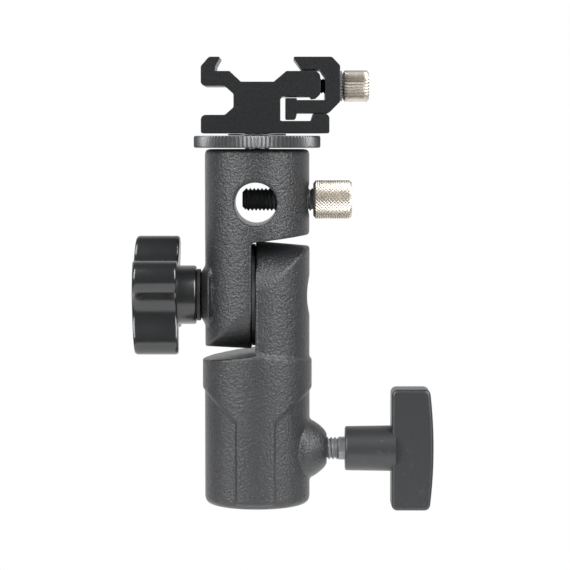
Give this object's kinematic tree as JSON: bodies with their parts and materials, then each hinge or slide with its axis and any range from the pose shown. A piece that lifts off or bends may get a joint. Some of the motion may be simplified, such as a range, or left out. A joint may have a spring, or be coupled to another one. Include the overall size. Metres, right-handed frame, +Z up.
{
  "type": "umbrella swivel bracket",
  "caption": "Tilting light-stand bracket: a spigot socket with a T-knob, a head with a hole for an umbrella shaft, and a clamping flash shoe on a locking disc.",
  "frame": {"origin": "centre of the stand socket's mouth, where the bracket meets the stand", "axes": "+Z up the bracket, +X towards the stand knob and the thumbscrews, -Y is the front"},
  "size_m": [0.0779, 0.0326, 0.117],
  "materials": {
    "powder_coated_casting": "dark grey hammered powder coat on die-cast alloy",
    "anodised_aluminium": "black sand-blasted anodising",
    "nickel_plated_brass": "knurled, bright nickel plate",
    "black_oxide_steel": "black oxide",
    "zinc_plated_steel": "zinc plated",
    "brass": "turned",
    "gloss_black_plastic": "moulded gloss",
    "satin_black_plastic": "moulded satin",
    "black_nylon": "moulded matt"
  },
  "bodies": {
    "stand_end": {"lower_casting": "powder_coated_casting", "tilt_nut": "zinc_plated_steel", "tilt_friction_disc": "black_nylon"},
    "tilting_head": {"upper_casting": "powder_coated_casting", "mount_stud": "zinc_plated_steel"},
    "tilt_clamp": {"tilt_washer": "black_nylon"},
    "tilt_lock": {"tilt_knob": "gloss_black_plastic", "tilt_bolt": "zinc_plated_steel"},
    "stand_clamp": {"stand_pressure_pad": "brass"},
    "stand_lock": {"stand_screw": "black_oxide_steel", "stand_knob": "satin_black_plastic"},
    "umbrella_clamp": {"umbrella_stud": "black_oxide_steel"},
    "umbrella_lock": {"umbrella_head": "nickel_plated_brass"},
    "pan_lock": {"lock_disc": "anodised_aluminium"},
    "shoe": {"shoe_body": "anodised_aluminium", "shoe_washer": "black_oxide_steel"},
    "jaw": {"shoe_jaw": "anodised_aluminium", "jaw_washer": "black_oxide_steel"},
    "jaw_lock": {"jaw_screw": "black_oxide_steel", "jaw_head": "nickel_plated_brass"}
  },
  "joints": [
    {"name": "tilt", "type": "hinge", "parent": "stand_end", "child": "tilting_head", "pos_m": [0, 0, 0.0543], "axis": [1, 0, 0], "range_deg": [-90, 90]},
    {"name": "tilt_clamp_travel", "type": "slide", "parent": "stand_end", "child": "tilt_clamp", "axis": [-1, 0, 0], "range_m": [0, 0.002]},
    {"name": "tilt_knob_turn", "type": "hinge", "parent": "tilt_clamp", "child": "tilt_lock", "pos_m": [-0.02, 0, 0.0543], "axis": [-1, 0, 0], "range_deg": [0, 721]},
    {"name": "stand_clamp_travel", "type": "slide", "parent": "stand_end", "child": "stand_clamp", "axis": [1, 0, 0], "range_m": [-0.004, 0.003]},
    {"name": "stand_knob_turn", "type": "hinge", "parent": "stand_clamp", "child": "stand_lock", "pos_m": [0.02, 0, 0.0142], "axis": [1, 0, 0], "range_deg": [-1441, 1081]},
    {"name": "umbrella_clamp_travel", "type": "slide", "parent": "tilting_head", "child": "umbrella_clamp", "axis": [1, 0, 0], "range_m": [-0.0008, 0.008]},
    {"name": "umbrella_screw_turn", "type": "hinge", "parent": "umbrella_clamp", "child": "umbrella_lock", "pos_m": [0.019, 0, 0.079], "axis": [1, 0, 0], "range_deg": [-289, 2881]},
    {"name": "pan_lock_turn", "type": "hinge", "parent": "tilting_head", "child": "pan_lock", "pos_m": [0, 0, 0.094], "axis": [0, 0, 1], "continuous": true},
    {"name": "shoe_pan", "type": "hinge", "parent": "tilting_head", "child": "shoe", "pos_m": [0, 0, 0.1], "axis": [0, 0, 1], "continuous": true},
    {"name": "jaw_travel", "type": "slide", "parent": "shoe", "child": "jaw", "axis": [1, 0, 0], "range_m": [-0.0007, 0.00315]},
    {"name": "jaw_screw_turn", "type": "hinge", "parent": "jaw", "child": "jaw_lock", "pos_m": [0.025, 0, 0.1082], "axis": [1, 0, 0], "range_deg": [-361, 1621]}
  ],
  "couplings": [
    {"joint": "tilt_knob_turn", "follows": "tilt_clamp_travel", "rad_per_m": 6283.2},
    {"joint": "stand_knob_turn", "follows": "stand_clamp_travel", "rad_per_m": 6283.2},
    {"joint": "umbrella_screw_turn", "follows": "umbrella_clamp_travel", "rad_per_m": 6283.2},
    {"joint": "jaw_screw_turn", "follows": "jaw_travel", "rad_per_m": 8976}
  ]
}
